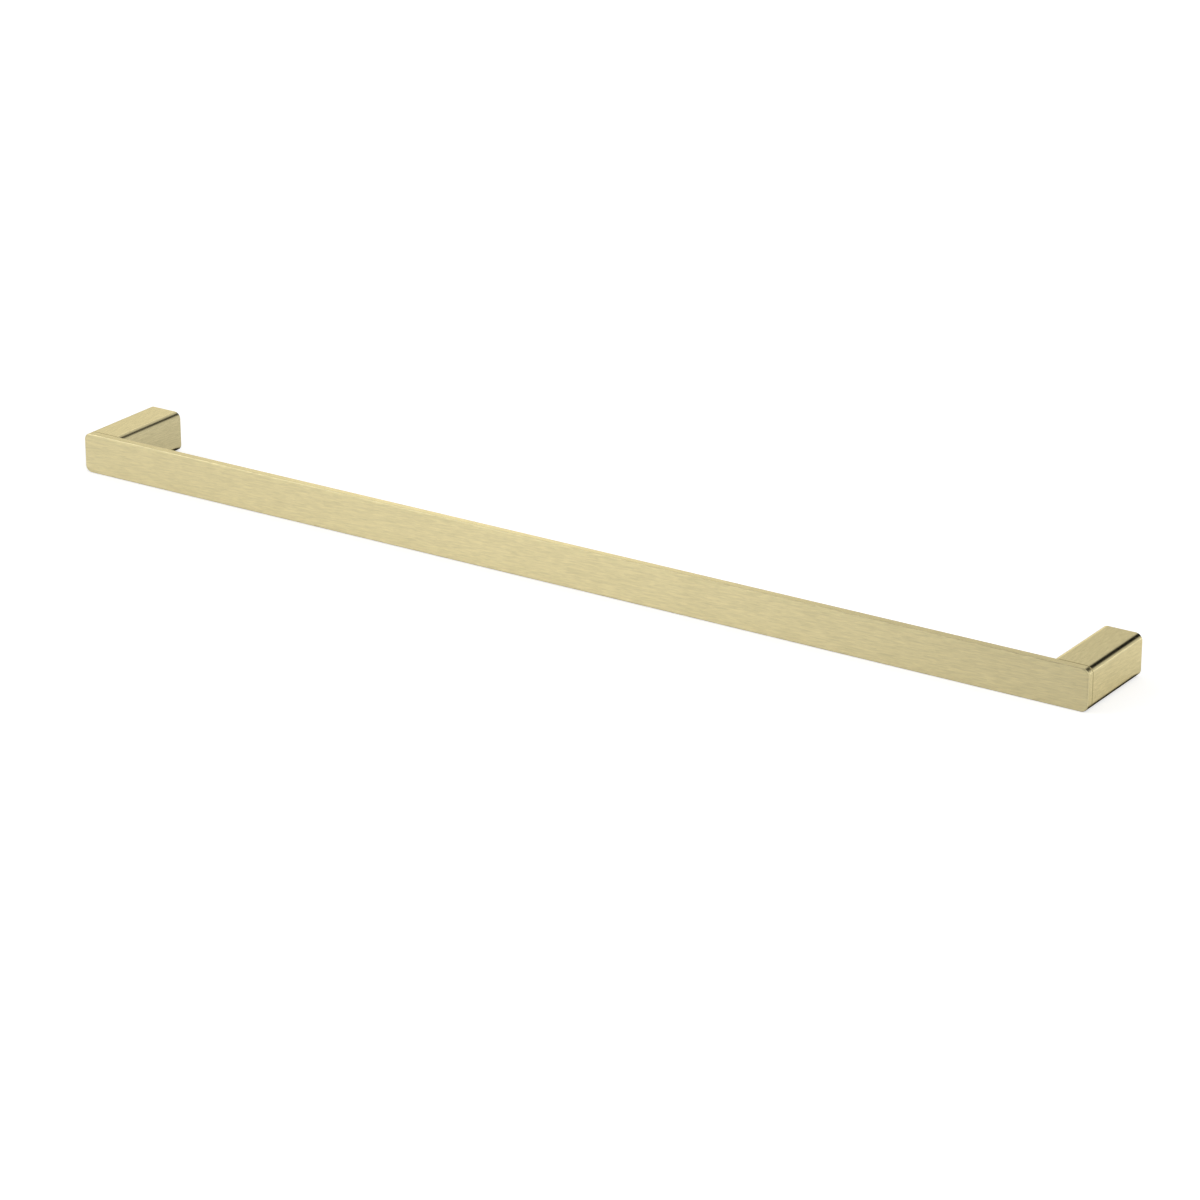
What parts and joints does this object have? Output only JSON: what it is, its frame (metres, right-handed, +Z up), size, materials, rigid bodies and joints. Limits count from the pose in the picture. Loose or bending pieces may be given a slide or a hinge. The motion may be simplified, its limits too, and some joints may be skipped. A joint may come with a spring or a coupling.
{
  "type": "towel rail",
  "caption": "Wall-mounted towel rail: a flat brushed brass bar on hollow square posts that slide over hidden wall brackets and are locked by grub screws from below.",
  "frame": {"origin": "on the wall plane, at the centre of the rectangle of wall screw holes, midway between the posts and at the bar's mid height", "axes": "+X along the bar to the right as seen from the room, +Y into the wall, +Z up"},
  "size_m": [0.83, 0.075, 0.03],
  "materials": {
    "brushed_brass": "fine brushed, satin",
    "bracket_steel": "as cast, satin",
    "screw_steel": "plain stainless"
  },
  "bodies": {
    "root": {"rail_bar": "brushed_brass", "left_post": "brushed_brass", "right_post": "brushed_brass", "left_wall_bracket": "bracket_steel", "right_wall_bracket": "bracket_steel", "bar_screws": "screw_steel", "grub_screws": "screw_steel"}
  },
  "joints": []
}
